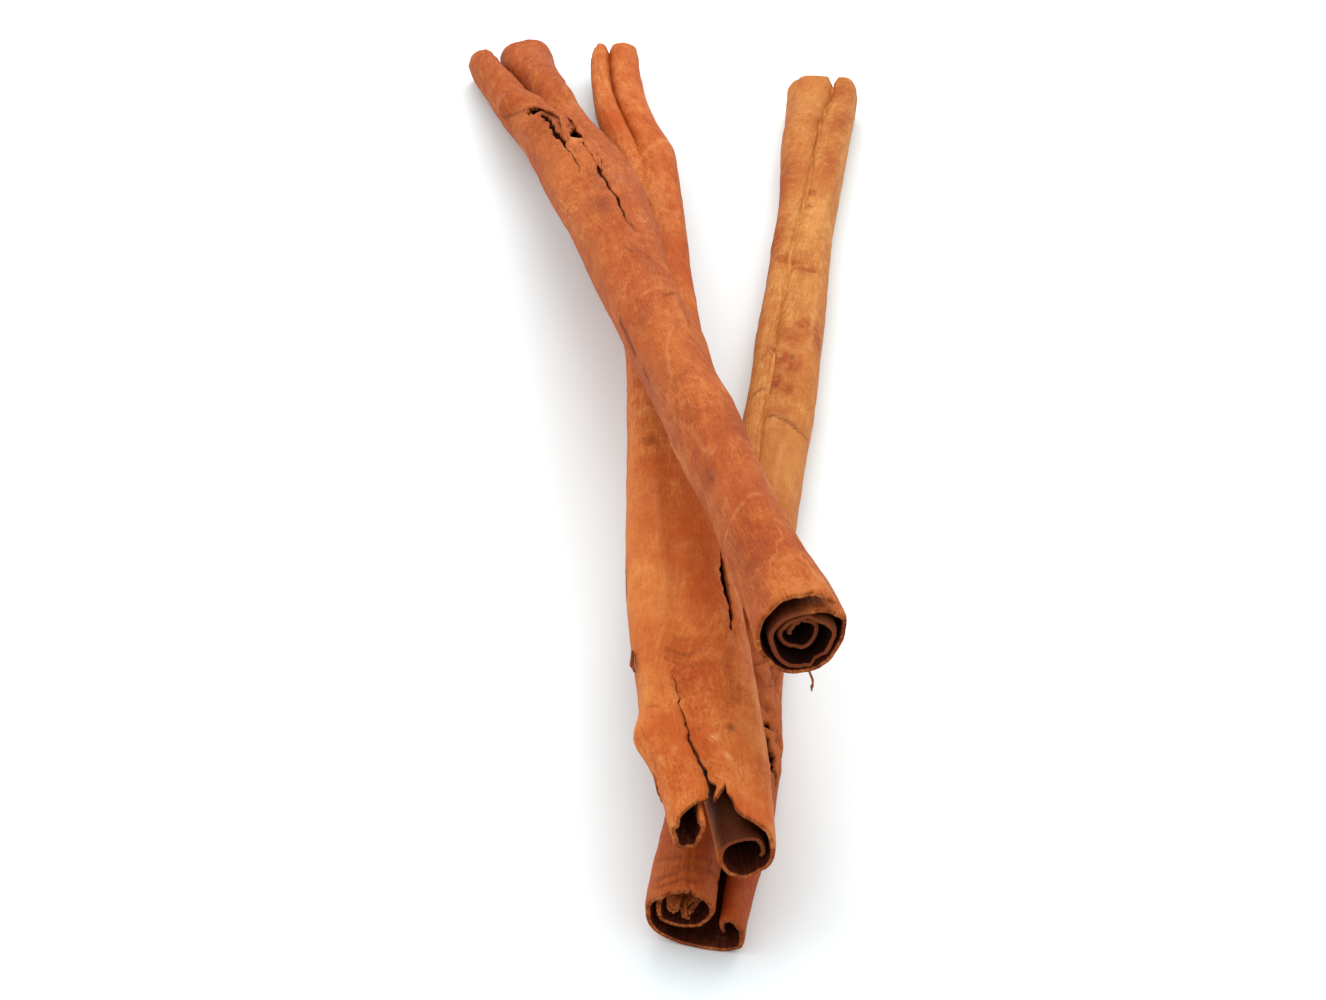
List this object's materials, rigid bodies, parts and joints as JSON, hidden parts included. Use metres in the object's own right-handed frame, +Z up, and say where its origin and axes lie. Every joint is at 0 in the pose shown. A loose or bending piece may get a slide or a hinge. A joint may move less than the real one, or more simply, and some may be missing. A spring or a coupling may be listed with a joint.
{
  "type": "stack of cinnamon sticks",
  "caption": "Small stack of dried cinnamon sticks: long scrolls of rolled bark with ragged ends, lying across each other.",
  "frame": {"origin": "middle of the stack's footprint, on the surface it lies on", "axes": "+Z up, +Y along the sticks towards their far ends, +X to the right"},
  "size_m": [0.05, 0.1584, 0.0287],
  "materials": {
    "bark_top": "dry matt bark, mottled orange-brown with thin pale lines",
    "bark_middle": "dry matt bark, deeper reddish orange-brown",
    "bark_bottom": "dry matt bark, lighter tan with fine lengthwise fibre"
  },
  "bodies": {
    "root": {"top_stick": "bark_top", "middle_stick": "bark_middle", "bottom_stick": "bark_bottom"}
  },
  "joints": []
}
